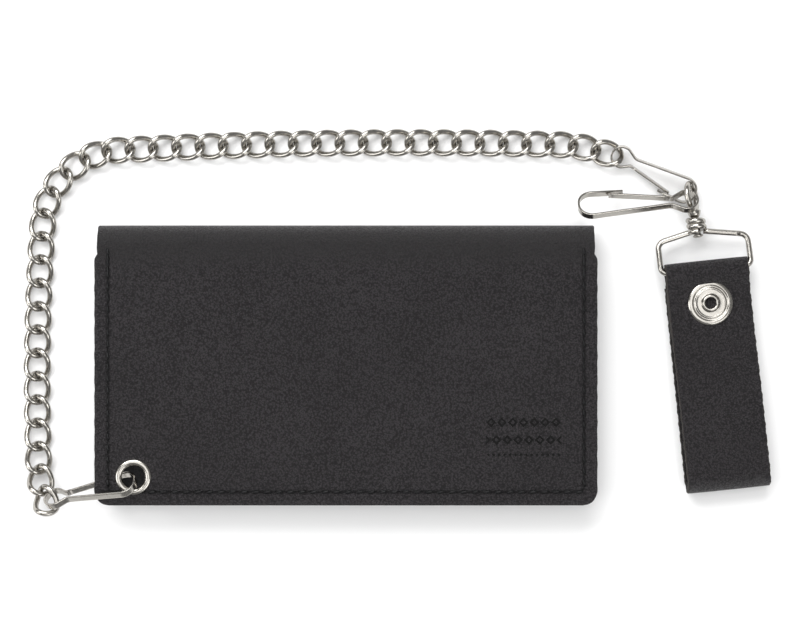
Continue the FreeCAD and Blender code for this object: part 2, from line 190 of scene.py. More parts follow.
def stamped_rows(material, coords):
    """Pressed pattern, 1 in the marks and 0 outside: two rows of diamonds 3.7 mm apart, the second
    shifted by half, and a row of small squares below. A mark is where |x| + |y| from its middle is
    less than its reach and no more than a line's width inside it."""
    def do(operation, first, second=None):
        return sums(material, operation, first, second)

    split = material.node_tree.nodes.new("ShaderNodeSeparateXYZ")
    wire_up(material, coords, split.inputs[0])
    x, y, z = split.outputs
    rows = []
    for middle, step, shift, size in MOTIF_ROWS:
        turn = do("FRACT", do("ADD", do("DIVIDE", do("SUBTRACT", x, MOTIF_LEFT), step), shift))
        along = do("ABSOLUTE", do("SUBTRACT", turn, 0.5))
        across = do("ABSOLUTE", do("SUBTRACT", y, middle))
        reach = do("ADD", do("MULTIPLY", along, step * 1000), do("MULTIPLY", across, 1000))
        outer = do("LESS_THAN", reach, size)
        inner = do("LESS_THAN", reach, size - MOTIF_LINE)
        rows.append(do("SUBTRACT", outer, inner))
    marks = do("ADD", do("ADD", rows[0], rows[1]), rows[2])
    for edge, test in ((MOTIF_LEFT, "GREATER_THAN"), (MOTIF_RIGHT, "LESS_THAN")):
        marks = do("MULTIPLY", marks, do(test, x, edge))
    return do("MULTIPLY", marks, do("GREATER_THAN", z, 0.0125))


cover_hide, cover_coords, cover_tint, cover_normal = hide_leather("cover_hide", **COWHIDE)
marks = stamped_rows(cover_hide, cover_coords)
pressed = relief(cover_hide, sums(cover_hide, "MULTIPLY", marks, -1.0), 0.0008, cover_normal)
feed(cover_hide, pressed, "Normal")
# A colour attribute carries painted light: its red is shade painted into the seam's groove, its green a
# sheen painted round the fold.
painted_light = cover_hide.node_tree.nodes.new("ShaderNodeAttribute")
painted_light.attribute_name = "seam_shade_and_fold_sheen"
seam_shade, fold_sheen_band = cover_hide.node_tree.nodes.new("ShaderNodeSeparateColor").outputs[:2]
wire_up(cover_hide, painted_light.outputs["Color"], seam_shade.node.inputs[0])
marks_and_seam_shade = washed(cover_hide, sums(cover_hide, "MAXIMUM", marks, seam_shade), cover_tint, PRESSED_BLACK_AND_SEAM_SHADE)
# The band round the fold is painted paler: a painted sheen.
with_fold_sheen = washed(cover_hide, sums(cover_hide, "MULTIPLY", fold_sheen_band, 0.75), marks_and_seam_shade, FOLD_SHEEN_GREY)
feed(cover_hide, with_fold_sheen, "Base Color")


def quads(index, join_rows=False, join_columns=False):
    """Faces over grids of vertex numbers (..., rows, columns); a joined direction closes on itself."""
    if join_rows:
        index = np.concatenate([index, index[..., :1, :]], -2)
    if join_columns:
        index = np.concatenate([index, index[..., :1]], -1)
    near, far = index[..., :-1, :], index[..., 1:, :]
    return np.stack([near[..., :-1], near[..., 1:], far[..., 1:], far[..., :-1]], -1).reshape(-1, 4)


def moulded(name, flat, faces, weld=0.0, capped=False):
    """A piece from points in mm and faces: doubles within the weld are merged, open ends are filled
    if it is capped, and its faces point outwards."""
    mesh = bpy.data.meshes.new(name)
    mesh.from_pydata((flat / 1000).tolist(), [], faces.tolist())
    made = bmesh.new()
    made.from_mesh(mesh)
    bmesh.ops.delete(made, geom=[v for v in made.verts if not v.link_faces], context="VERTS")
    if weld:
        bmesh.ops.remove_doubles(made, verts=made.verts, dist=weld / 1000)
    if capped:
        bmesh.ops.holes_fill(made, edges=made.edges)
    bmesh.ops.recalc_face_normals(made, faces=made.faces)
    made.to_mesh(mesh)
    made.free()
    mesh.shade_smooth()
    piece = bpy.data.objects.new(name, mesh)
    bpy.context.scene.collection.objects.link(piece)
    return piece


def skin(name, points, join_rows=False, join_columns=False, keep=None, weld=0.0):
    """Quads over a grid of points (rows, columns, 3) in mm. A joined direction closes on itself, and
    keep is a test on face centres that cuts holes."""
    index = np.arange(points.shape[0] * points.shape[1]).reshape(points.shape[:2])
    faces = quads(index, join_rows, join_columns)
    flat = points.reshape(-1, 3)
    if keep is not None:
        faces = faces[keep(flat[faces].mean(1))]
    return moulded(name, flat, faces, weld)


def dress(piece, finish, body, nodes):
    """The piece's material, the body it rides on and the nodes it stands for."""
    piece.data.materials.append(finish)
    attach(piece, body)
    if nodes:
        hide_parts(*nodes)
    return piece


def knots(*stretches):
    """Grid lines: each stretch is (start, end, number), joined and sorted with doubles dropped."""
    return np.unique(np.round(np.concatenate([np.linspace(*s) for s in stretches]), 4))


def ease(value, start, end):
    """Smooth step: 0 before start, 1 after end, 3t^2 - 2t^3 between."""
    t = np.clip((value - start) / (end - start), 0, 1)
    return t * t * (3 - 2 * t)


def seam_gap(x, y):
    """Distance to the seam, a U with corners of 2 mm: that of a rounded box, made positive."""
    across, down = np.abs(x) - (SEAM_X - 2), -y + (SEAM_Y + 2)
    outside = np.hypot(np.maximum(across, 0), np.maximum(down, 0))
    return np.abs(outside + np.minimum(np.maximum(across, down), 0) - 2)


def sink(x, y):
    """How far the leather lies below its flat plane: a groove 0.3 mm deep along the seam, an edge
    pressed down by 0.25 mm, and a slow swell of a tenth of a millimetre."""
    groove = 0.3 * np.exp(-((seam_gap(x, y) / 0.55) ** 2)) * (1 - ease(y, SEAM_END - 1, SEAM_END + 2))
    side = np.maximum(ease(np.abs(x), 84.6, 86.2), ease(-y, 46.6, 48.2)) * 0.28
    swell = 0.09 * (1 + np.sin(x / 23 + 1.1) * np.cos(y / 17 - 0.6))
    return groove + side + swell


# The road is the cover's section from one open edge to the other: flat, a half circle round the fold
# and flat again. Each of its points carries a row across, as wide as the two round corners leave it.
EDGE_BAND, CORNER = 79.6, 5.0
rise = knots((OPEN_EDGE, -44.6, 12), (-44.6, -42.2, 10), (-42.2, 34, 64), (34, FOLD_START, 10))
turn = np.linspace(-90, 90, 26)[1:-1]
road_y = np.concatenate([rise, FOLD_START + SPINE * np.cos(np.radians(turn)), rise[::-1]])
road_z = np.concatenate([0 * rise, SPINE + SPINE * np.sin(np.radians(turn)), 0 * rise + TOP])
length = np.concatenate([[0], np.cumsum(np.hypot(np.diff(road_y), np.diff(road_z)))])
into = CORNER - np.clip(road_y - OPEN_EDGE, 0, CORNER)
half = HALF_LENGTH - (CORNER - np.sqrt(CORNER**2 - into**2))
half = half - 0.9 * ease(road_y, 36.5, 38.0)
middle_band = np.tile(knots((0, EDGE_BAND, 54)), (len(road_y), 1))
edge_band = EDGE_BAND + (half[:, None] - EDGE_BAND) * np.linspace(0, 1, 19)[1:]
right = np.hstack([middle_band, edge_band])
x = np.hstack([-right[:, :0:-1], right])
rag = 0.06 * np.sin(length * 0.83 + 0.7) + 0.05 * np.sin(length * 1.37 + 2.0)
x = x * (1 - rag[:, None] / 90 * (np.abs(x) > 84))
y = np.tile(road_y[:, None], (1, x.shape[1]))
z = np.tile(road_z[:, None], (1, x.shape[1]))
flat = np.where(road_z < 0.01, 1.0, np.where(road_z > TOP - 0.01, -1.0, 0.0))[:, None]
z = z + flat * sink(x, y)


def around_grommet(c):
    """False for faces of the upper layer that the grommet's hole takes out."""
    return (np.hypot(c[:, 0] - GROMMET[0], c[:, 1] - GROMMET[1]) >= 4.7) | (c[:, 2] <= 10)


cover = skin("cover_leather", np.stack([x, y, z], -1), keep=around_grommet)


def thicken(piece, thickness, rim=1):
    """Solid sheet from a skin, inward by its thickness, with the rim's own material."""
    solid = piece.modifiers.new("thickness", "SOLIDIFY")
    solid.thickness = thickness / 1000
    solid.offset = -1
    solid.material_offset_rim = rim
    solid.use_even_offset = True
    baked = bpy.data.meshes.new_from_object(piece.evaluated_get(bpy.context.evaluated_depsgraph_get()))
    piece.modifiers.clear()
    piece.data = baked
    piece.data.shade_smooth()
    return piece


for finish in (cover_hide, raw_edge):
    cover.data.materials.append(finish)
thicken(cover, COVER)
spots = np.empty(len(cover.data.vertices) * 3)
cover.data.vertices.foreach_get("co", spots)
spots = spots.reshape(-1, 3) * 1000
# Painted shade along the seam's groove, kept per vertex in the attribute's red.
seam_shade_depth = np.exp(-((seam_gap(spots[:, 0], spots[:, 1]) / 0.5) ** 2)) * (spots[:, 1] < SEAM_END + 0.5)
# Painted sheen on the band round the fold, kept per vertex in the attribute's green.
fold_sheen = ease(spots[:, 1], 30, 41) * (1 - ease(spots[:, 1], 45, 48))
tints = np.stack([0.85 * seam_shade_depth, fold_sheen, np.zeros(len(spots)), np.ones(len(spots))], 1)
painted_light_map = cover.data.color_attributes.new("seam_shade_and_fold_sheen", "FLOAT_COLOR", "POINT")
painted_light_map.data.foreach_set("color", tints.ravel())
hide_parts("cover_front", "cover_back", "cover_spine")
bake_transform(cover)

# ---- Seam thread --------------------------------------------------------------------------------
# Waxed black thread, lock-stitched 3.95 mm apart round three sides, doubled over where it starts.
STITCH, STITCH_HALF, THREAD, SLANT = 3.95, 1.36, 0.44, 11
thread, thread_coords = blank("waxed_thread")
twist = grain(thread, thread_coords, "ShaderNodeTexNoise", 3800.0, Detail=2.0)
feed(thread, relief(thread, twist.outputs["Fac"], 0.00015), "Normal")
tone(thread, "Base Color", (0.0025, 0.0025, 0.003, 1))
tone(thread, "Roughness", 0.42)
tone(thread, "Specular IOR Level", 0.3)


def stitches(name, height, up):
    """Each stitch is a rod that rises from the leather and dips back: along it t runs from -1 to 1,
    its height is 0.42(1 - t^4) - 0.36, its radius sqrt(1.02 - t^6) of the thread's, and it lies 11
    degrees off the seam."""
    side = np.arange(SEAM_Y + 2.2, SEAM_END, STITCH) + 1.0
    foot = np.arange(-SEAM_X + 2.4, SEAM_X - 1, STITCH) + 0.9
    again = SEAM_END - 0.6 - STITCH * np.array([0.45, 1.45])
    runs = [np.stack([0 * at + x, at, 0 * at + 90], 1) for at in (side, again) for x in (-SEAM_X, SEAM_X)]
    runs.insert(2, np.stack([foot, 0 * foot + SEAM_Y, 0 * foot], 1))
    mid = np.concatenate(runs)
    if up > 0:
        mid = mid[np.hypot(mid[:, 0] - GROMMET[0], mid[:, 1] - GROMMET[1]) > 7.4]
    heading = np.radians(mid[:, 2] + SLANT)[:, None, None]
    t = np.linspace(-1, 1, 9)[None, :, None]
    ring = np.linspace(0, 2 * np.pi, 8, endpoint=False)[None, None, :]
    thick = THREAD * np.sqrt(np.clip(1.02 - t**6, 0, 1))
    along = t * STITCH_HALF + 0 * ring
    aside = thick * np.cos(ring)
    x = mid[:, 0][:, None, None] + along * np.cos(heading) - aside * np.sin(heading)
    y = mid[:, 1][:, None, None] + along * np.sin(heading) + aside * np.cos(heading)
    z = height + up * (0.42 * (1 - t**4) - 0.36 + thick * np.sin(ring)) + 0 * x
    faces = quads(np.arange(x.size).reshape(x.shape), join_columns=True)
    return moulded(name, np.stack([x, y, z], -1).reshape(-1, 3), faces, capped=True)


dress(stitches("stitches_back", TOP - 0.2, 1), thread, "back_half", ["seam_thread_back"])
dress(stitches("stitches_front", 0.25, -1), thread, "front_half", ["seam_thread_front"])

# ---- Grommet ------------------------------------------------------------------------------------
# Nickel-plated brass: a domed rim rolled over the leather, a barrel through it, and a flat washer
# that the barrel is set against inside.
nickel, nickel_coords = blank("bright_nickel")
wear = grain(nickel, nickel_coords, "ShaderNodeTexNoise", 900.0, Detail=5.0)
feed(nickel, spread(nickel, wear.outputs["Fac"], 0.1, 0.3), "Roughness")
feed(nickel, shade_mix(nickel, wear.outputs["Fac"], (0.30, 0.285, 0.26), (0.50, 0.48, 0.445)), "Base Color")
feed(nickel, relief(nickel, wear.outputs["Fac"], 0.00002), "Normal")
tone(nickel, "Metallic", 1.0)


def turned(name, profile, centre, place=None, steps=96):
    """A turned part: the profile (radius, height) swept round an upright axis through centre."""
    profile = np.asarray(profile, float)
    angle = np.linspace(0, 2 * np.pi, steps, endpoint=False)
    x = centre[0] + profile[:, 0][:, None] * np.cos(angle)
    y = centre[1] + profile[:, 0][:, None] * np.sin(angle)
    z = profile[:, 1][:, None] + 0 * angle
    points = np.stack([x, y, z], -1)
    if place is not None:
        points = place(points)
    on_axis = profile[0, 0] == 0
    return skin(name, points, join_rows=not on_axis, join_columns=True, weld=0.001 if on_axis else 0.0)


def rounded(profile, radius=0.12, steps=3):
    """A closed profile with each corner replaced by a short quadratic curve between two cut points."""
    corner = np.asarray(profile, float)
    before, after = np.roll(corner, 1, 0) - corner, np.roll(corner, -1, 0) - corner
    reach = np.minimum(radius, 0.45 * np.minimum(np.hypot(*before.T), np.hypot(*after.T)))[:, None]
    a = (corner + before / np.hypot(*before.T)[:, None] * reach)[:, None]
    b = (corner + after / np.hypot(*after.T)[:, None] * reach)[:, None]
    t = np.linspace(0, 1, steps + 1)[None, :, None]
    return ((1 - t) ** 2 * a + 2 * t * (1 - t) * corner[:, None] + t**2 * b).reshape(-1, 2)


sweep = np.radians(np.linspace(180, 0, 15))
rim = np.stack([5.1 + 1.08 * np.cos(sweep), TOP - 0.42 + 0.78 * np.sin(sweep)], 1)
inside = [[4.02, 12.0], [4.02, TOP - 0.2]]
outside = [[6.1, TOP - 0.42], [5.0, TOP - 0.42], [4.42, TOP - 0.5], [4.42, 12.0]]
grommet = np.vstack([inside, rim, outside])
dress(turned("grommet_rim", grommet, GROMMET), nickel, "back_half", ["grommet"])
washer = rounded([[4.45, 12.0], [4.45, 12.3], [6.2, 12.3], [6.2, 12.0]], 0.08)
dress(turned("grommet_back_washer", washer, GROMMET), nickel, "back_half", ["grommet_washer"])

# ---- Inner leather ------------------------------------------------------------------------------
# Thin smooth leather, cut flat and caught in the cover's seam: a lining and a zip pocket in one half,
# a note pocket, three stepped card slots and a window frame in the other.
lining_hide = hide_leather(
    "smooth_lining_hide", (0.010, 0.010, 0.011), (0.032, 0.031, 0.033), 2100.0, 0.00008, (0.58, 0.44))[0]
LAYER = 0.85


def cut_sheet(name, x0, x1, y0, y1, low, high, corner=3.0, window=None, hole=None, swell=0.05):
    """A flat sheet between two heights: its half width shrinks by r - sqrt(r^2 - d^2) near the open
    edge, and its top swells by sines of x/19 and y/13. A window or round hole drops faces."""
    middle, wide = (x0 + x1) / 2, (x1 - x0) / 2
    inner = wide - corner
    lines_y = [(y0, y0 + corner, 9), (y0 + corner, y1, 30)]
    lines_x = [(-inner, inner, 60)]
    if window:
        lines_y += [(window[2], window[3], 12)]
        lines_x += [(window[0] - middle, window[1] - middle, 14)]
    y = knots(*lines_y)
    along = knots(*lines_x)
    d = np.clip(corner - (y - y0), 0, corner)
    half = wide - (corner - np.sqrt(corner**2 - d**2))
    out = np.linspace(0, 1, 9)[1:]
    edge = inner + (half[:, None] - inner) * out
    x = middle + np.hstack([-edge[:, ::-1], np.tile(along, (len(y), 1)), edge])
    y = np.tile(y[:, None], (1, x.shape[1]))
    z = high - swell * (0.5 + 0.5 * np.sin(x / 19 + y0) * np.cos(y / 13 + x0))

    def keep(c):
        """True for the faces that neither the window nor the hole takes out."""
        gone = np.zeros(len(c), bool)
        if window:
            left, right, foot, head = window
            gone |= (c[:, 0] > left) & (c[:, 0] < right) & (c[:, 1] > foot) & (c[:, 1] < head)
        if hole:
            gone |= np.hypot(c[:, 0] - hole[0], c[:, 1] - hole[1]) < hole[2]
        return ~gone

    piece = skin(name, np.stack([x, y, z], -1), keep=keep)
    if piece.data.polygons[0].normal.z < 0:
        piece.data.flip_normals()
    piece.data.materials.append(lining_hide)
    piece.data.materials.append(raw_edge)
    return thicken(piece, high - low - swell)


def inner_piece(piece, node, body):
    """The node and body of a sheet that has its leather already."""
    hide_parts(node)
    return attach(piece, body)


lining = cut_sheet("lining_leather", -85.0, 85.0, -47.0, 36.0, 12.0, 12.57, 5.0, hole=(*GROMMET, 4.6))
inner_piece(lining, "lining_back", "back_half")
back_wall = cut_sheet("zip_pocket_back", -56.0, 84.0, -47.0, 30.0, 11.3, 11.9)
inner_piece(back_wall, "pocket_back_wall", "back_half")
zip_opening = (-50.0, 70.0, 16.0, 24.0)
front_wall = cut_sheet("zip_pocket_front", -56.0, 84.0, -47.0, 30.0, 10.4, 11.2, window=zip_opening)
inner_piece(front_wall, "pocket_front_wall", "back_half")
note_pocket = cut_sheet("note_pocket", -85.0, 85.0, -47.0, 33.0, 1.45, 2.25, 5.0)
inner_piece(note_pocket, "bill_pocket_front", "front_half")
for number, edge in enumerate((26.0, 12.0, -2.0), start=1):
    low = 1.45 + number * LAYER
    slot = cut_sheet(f"card_slot_leather_{number}", -84.0, -3.0, -47.0, edge, low, low + 0.8)
    inner_piece(slot, f"card_slot_{number}", "front_half")
pane_opening = (12.0, 74.0, -26.0, 17.0)
pane_frame = cut_sheet("window_leather", 3.0, 84.0, -47.0, 26.0, 2.75, 3.75, window=pane_opening)
inner_piece(pane_frame, "window_frame", "front_half")

# ---- Window pane --------------------------------------------------------------------------------
# Clear soft vinyl sewn behind the frame; a slow ripple catches the light.
vinyl, vinyl_coords = blank("clear_vinyl")
ripple = grain(vinyl, vinyl_coords, "ShaderNodeTexNoise", 60.0, Detail=1.0)
feed(vinyl, relief(vinyl, ripple.outputs["Fac"], 0.0006), "Normal")
tone(vinyl, "Base Color", (0.75, 0.79, 0.82, 1))
tone(vinyl, "Roughness", 0.12)
tone(vinyl, "Alpha", 0.35)
pane = cut_sheet("vinyl_pane", 4.0, 83.0, -32.0, 25.0, 2.32, 2.72, 2.0)
pane.data.materials.clear()
dress(pane, vinyl, "front_half", ["window_pane"])

# ---- Zip ----------------------------------------------------------------------------------------
# A brass zip on woven tape behind the long opening: teeth clamped on the tape's edges, a slider that
# runs on them and a flat pull on its lug.
ZIP_START, ZIP_END, ZIP_Y, ZIP_HEIGHT = -50.0, 70.0, 20.0, 10.8
TOOTH_STEP, TOOTH_OFF = 2.4, 0.525
tape, tape_coords = blank("woven_tape")
waves = []
for way in ("X", "Y"):
    weave = tape.node_tree.nodes.new("ShaderNodeTexWave")
    weave.bands_direction = way
    weave.inputs["Scale"].default_value = 520.0
    wire_up(tape, tape_coords, weave.inputs["Vector"])
    waves.append(weave.outputs["Fac"])
woven = sums(tape, "MULTIPLY", *waves)
feed(tape, relief(tape, woven, 0.0002), "Normal")
feed(tape, shade_mix(tape, woven, (0.008, 0.008, 0.009), (0.03, 0.03, 0.032)), "Base Color")
tone(tape, "Roughness", 0.8)
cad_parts["zip_tape"].data.materials.clear()
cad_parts["zip_tape"].data.materials.append(tape)

brass, brass_coords = blank("polished_brass")
rub = grain(brass, brass_coords, "ShaderNodeTexNoise", 1500.0, Detail=3.0)
feed(brass, spread(brass, rub.outputs["Fac"], 0.18, 0.4), "Roughness")
feed(brass, shade_mix(brass, rub.outputs["Fac"], (0.45, 0.30, 0.11), (0.68, 0.50, 0.22)), "Base Color")
tone(brass, "Metallic", 1.0)


def squared(v):
    """A circle's sine or cosine pushed outward towards a square's, by a power of 0.3."""
    return np.sign(v) * np.abs(v) ** 0.3


def teeth(name):
    """Rounded blocks, 1 mm along the zip and 1.45 across, from two alternating rows: each is a grid of
    latitude and longitude whose sines and cosines are squared off."""
    first = ZIP_START + 3 + TOOTH_STEP * np.arange(int((ZIP_END - ZIP_START - 6) / TOOTH_STEP))
    near = np.stack([first + 0.5, 0 * first + ZIP_Y - TOOTH_OFF], 1)
    far = np.stack([first + 1.7, 0 * first + ZIP_Y + TOOTH_OFF], 1)
    middle = np.concatenate([near, far])[:, :, None, None]
    lat = np.radians(np.linspace(-90, 90, 7))[None, :, None]
    lon = np.radians(np.linspace(0, 360, 12, endpoint=False) + 15)[None, None, :]
    x = middle[:, 0] + 0.5 * squared(np.cos(lat)) * squared(np.cos(lon))
    y = middle[:, 1] + 0.72 * squared(np.cos(lat)) * squared(np.sin(lon))
    z = ZIP_HEIGHT + 0.3 * squared(np.sin(lat)) + 0 * x
    faces = quads(np.arange(x.size).reshape(x.shape), join_columns=True)
    return moulded(name, np.stack([x, y, z], -1).reshape(-1, 3), faces, weld=0.001)


dress(teeth("brass_teeth"), brass, "back_half", ["zip_teeth"])
for node in ("zip_slider", "zip_pull"):
    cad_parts[node].data.materials.clear()
    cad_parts[node].data.materials.append(nickel)

# ---- Wallet press studs -------------------------------------------------------------------------
# Two nickel press studs hold the halves shut: a domed cap outside and a socket inside one half, a
# post and a stud in the other.
PRESS_X, PRESS_Y = 52.0, -36.6
dome = np.sin(np.radians(np.linspace(0, 90, 8)))
cap = np.stack([5.85 * dome, 0.5 - 0.5 * np.sqrt(np.clip(1 - dome**2, 0, 1))], 1)
cap = np.vstack([cap, [[5.6, 0.65], [0.0, 0.65]]])
cap_stem = rounded([[1.3, 0.6], [2.0, 0.6], [2.0, 4.2], [1.3, 4.2]], 0.1)
socket = rounded([[3.0, 4.05], [5.2, 4.05], [5.2, 4.5], [4.2, 4.7], [4.2, 6.0], [3.0, 6.0]], 0.25)
stud = rounded([[1.25, 5.1], [2.35, 5.1], [2.6, 5.6], [2.45, 6.6], [2.5, 9.8], [4.6, 9.8],
                [4.6, 10.35], [1.25, 10.35]], 0.25)
post = rounded([[0.05, 5.5], [1.2, 5.5], [1.2, 11.22], [3.0, 11.22], [3.0, 11.28], [0.05, 11.28]], 0.03)
PRESS_PARTS = (("cap", cap, "front_half", ["wallet_snap_caps"]), ("cap_stem", cap_stem, "front_half", []),
               ("socket", socket, "front_half", ["wallet_snap_sockets"]),
               ("stud", stud, "back_half", ["wallet_snap_studs"]),
               ("post", post, "back_half", ["wallet_snap_posts"]))
for number, spot in enumerate(((-PRESS_X, PRESS_Y), (PRESS_X, PRESS_Y)), start=1):
    for part, profile, body, nodes in PRESS_PARTS:
        dress(turned(f"press_{part}_{number}", profile, spot, steps=48), nickel, body, nodes)

# ---- Spring clips -------------------------------------------------------------------------------
# Three clips bent from flat spring steel, 0.7 mm thick and 2.4 wide: a small lobe for the chain, a
# neck, a long lobe with a hook, and a gate that springs shut behind the hook.
STRIP, STRIP_WIDTH, NECK = 0.7, 2.4, 1.5


def bearing(heading, pitch):
    """Unit vectors along headings and pitches in degrees: (cos h cos p, sin h cos p, sin p)."""
    h, p = np.radians(heading), np.radians(pitch)
    return np.stack([np.cos(h) * np.cos(p), np.sin(h) * np.cos(p), np.sin(p) + 0 * h], -1)


def laid(origin, heading, pitch, roll):
    """A place in the world: local length, width and normal along a heading, then rolled about it."""
    u = bearing(heading, pitch)
    h, r = np.radians(heading), np.radians(roll)
    level = np.array([-np.sin(h), np.cos(h), 0])
    v = level * np.cos(r) + np.cross(u, level) * np.sin(r)
    w = np.cross(u, v)
    return lambda p: np.asarray(origin) + p[..., :1] * u + p[..., 1:2] * v + p[..., 2:] * w


def bent(points, fine=10):
    """A flat path through (x, y, radius) points: each corner is an arc of its radius that starts
    r tan(turn / 2) before the corner, sampled evenly in angle."""
    points = np.asarray(points, float)
    path = [points[:1, :2]]
    for before, here, after in zip(points[:-2], points[1:-1], points[2:]):
        a = (here - before)[:2] / np.hypot(*(here - before)[:2])
        b = (after - here)[:2] / np.hypot(*(after - here)[:2])
        bend = np.arctan2(a[0] * b[1] - a[1] * b[0], a @ b)
        way, radius = np.sign(bend), here[2]
        centre = here[:2] - a * radius * np.tan(abs(bend) / 2) + np.array([-a[1], a[0]]) * radius * way
        spoke = here[:2] - a * radius * np.tan(abs(bend) / 2) - centre
        angle = np.linspace(0, bend, fine)[:, None]
        path.append(centre + spoke * np.cos(angle) + np.array([-spoke[1], spoke[0]]) * np.sin(angle))
    path.append(points[-1:, :2])
    return np.vstack(path)


def bar_section(thickness, width, edge, across, steps):
    """A rectangle with round corners, as (thickness, width) points in order round its rim."""
    t, w = thickness / 2, width / 2
    fill = np.linspace(-w + edge, w - edge, across)
    corner = np.radians(np.linspace(0, 90, steps))
    side = np.concatenate([t - edge + edge * np.cos(corner), -(t - edge) - edge * np.sin(corner)])
    lift = np.concatenate([w - edge + edge * np.sin(corner), w - edge + edge * np.cos(corner)])
    left = np.stack([np.full(across, t), fill], 1)
    upper = np.stack([side, lift], 1)
    return np.vstack([left[:-1], upper, -left[1:-1], -upper])


def left_of(path):
    """The left normal at each point of a flat path: the mean of the two runs that meet there, turned."""
    run = np.gradient(path, axis=0)
    run /= np.hypot(*run.T)[:, None]
    return np.stack([-run[:, 1], run[:, 0]], 1)


def ended(rows):
    """Rows round a bar, with one more at each end drawn in to the middle, which closes it."""
    drawn_in = rows[[0, -1]].mean(1, keepdims=True) + 0 * rows[[0, -1]]
    return np.concatenate([drawn_in[:1], rows, drawn_in[1:]])


def strip(name, path, thickness, width, place, edge=0.14, across=7):
    """A strip on edge along a flat path: its section is carried on the path's left normal."""
    section = bar_section(thickness, width, edge, across, 4)
    flat = path[:, None, :] + left_of(path)[:, None, :] * section[None, :, :1]
    points = np.concatenate([flat, np.tile(section[None, :, 1:], (len(path), 1, 1))], -1)
    return skin(name, place(ended(points)), join_columns=True, weld=0.002)


def spring_clip(name, length, lobe, neck_at, big, place):
    """A clip in its own place: the frame's path goes round the small lobe, through the neck and round
    the big lobe to the hook, and the gate's runs straight from the neck to behind the hook."""
    frame_path = bent([
        (neck_at + 0.3, NECK + 0.1, 0), (neck_at - 0.6, NECK, 1.2), (lobe * 1.27, lobe, 2.4),
        (0, lobe, lobe - 0.15), (0, -lobe, lobe - 0.15), (lobe * 1.27, -lobe, 2.4), (neck_at, -NECK, 3.0),
        (length, -big * 1.03, big * 0.9), (length, big + 0.35, big * 0.9), (length * 0.62, big + 0.35, 0)])
    gate_path = np.array([(neck_at + 0.45, NECK + 0.15), (length * 0.74, big - 0.6)])
    gate_path = gate_path[0] + (gate_path[1] - gate_path[0]) * np.linspace(0, 1, 12)[:, None]
    dress(strip(f"{name}_strip", frame_path, STRIP, STRIP_WIDTH, place), nickel, name, [name])
    gate = strip(f"{name}_gate_strip", gate_path, STRIP, STRIP_WIDTH - 0.2, place)
    dress(gate, nickel, f"{name}_gate", [f"{name}_gate"])


spring_clip("wallet_clip", 33.0, 3.6, 8.2, 4.7, laid((-103.44, -46.7, 8.77), 11.6, 12.2, -49.4))

# ---- Chain --------------------------------------------------------------------------------------
# Curb chain of 39 twisted links in nickel-plated steel wire, 8.1 mm apart: each link is an oval whose
# height swings twice round, so that it lies flat in its neighbours.
LINKS, PITCH, WIRE = 39, 8.1, 0.99
LINK_HALF, LINK_SIDE, LINK_TWIST = 5.1, 3.9, 1.5
FIRST_LINK = np.array([-103.69, -46.97, 8.38])
# The chain climbs beside the wallet, turns a corner over five links and runs nearly straight along
# the fold. The links at its ends lean to the clips.
number = np.arange(LINKS)
heading = 92 - (number - 2) * 0.6
heading = np.where(number >= 13, 86 - (number - 12) * 16.6, heading)
heading = np.where(number >= 18, 3.0 - (number - 17) * 0.24, heading)
heading[[0, 1, 37, 38]] = 113.8, 103, -13, -16.5
pitch = np.zeros(LINKS)
pitch[[0, 1, 2, 38]] = -30.8, -22, -6, 3.3
roll = np.zeros(LINKS)
roll[[0, 38]] = -9.1, -1.4
step = bearing(heading, pitch)
middle = FIRST_LINK + np.vstack([[0, 0, 0], np.cumsum((step[:-1] + step[1:]) * PITCH / 2, 0)])


def curb_link(name, places):
    """Round wire on the loop (A cos t, B sin t, -C sin 2t), with rings on the normal and binormal of
    its tangent; outer faces are pressed flatter by 7 in 100, as a rolled curb chain's are."""
    t = np.linspace(0, 2 * np.pi, 56, endpoint=False)
    line = np.stack([LINK_HALF * np.cos(t), LINK_SIDE * np.sin(t), -LINK_TWIST * np.sin(2 * t)], 1)
    tangent = np.stack([-LINK_HALF * np.sin(t), LINK_SIDE * np.cos(t), -2 * LINK_TWIST * np.cos(2 * t)], 1)
    tangent /= np.linalg.norm(tangent, axis=1)[:, None]
    out = np.cross(tangent, [0, 0, 1])
    out /= np.linalg.norm(out, axis=1)[:, None]
    up = np.cross(out, tangent)
    ring = np.linspace(0, 2 * np.pi, 14, endpoint=False)
    radius = WIRE * (1 - 0.07 * np.cos(2 * ring) ** 2 * (np.cos(ring) > 0))
    across, upward = (radius * np.cos(ring))[None, :, None], (radius * np.sin(ring))[None, :, None]
    local = line[:, None] + out[:, None] * across + up[:, None] * upward
    parts = [skin(f"{name}_{i}", place(local), join_rows=True, join_columns=True)
             for i, place in enumerate(places)]
    first = parts[0]
    if len(parts) > 1:
        with bpy.context.temp_override(active_object=first, selected_editable_objects=parts):
            bpy.ops.object.join()
    first.name = name
    return first


for group in range(20):
    two = range(group * 2, min(group * 2 + 2, LINKS))
    node = f"chain_{group + 1:02d}"
    places = [laid(middle[i], heading[i], pitch[i], roll[i]) for i in two]
    dress(curb_link(f"links_{group + 1:02d}", places), nickel, node, [node])

# ---- Far clip, swivel and key clip --------------------------------------------------------------
# The far clip holds the chain's last link and hooks the swivel's eye, a ring on a stem whose head
# turns in the coiled ends of the belt ring. The key clip hangs from the same eye.
last = middle[37]
spring_clip("belt_clip", 32.0, 3.6, 8.2, 4.4, laid(last + [9.74, -1.55, 0.68], -27.25, 1.15, 199.1))
spring_clip("key_clip", 41.0, 3.9, 9.2, 5.0, laid(last + [38.52, -18.67, 5.65], 182.8, -0.8, 217.4))
EYE, EYE_WIRE = 4.4, 1.0
eye_middle = last + [36.75, -16.96, 2.57]
eye_place = laid(eye_middle, 99.0, -3.1, 244.5)
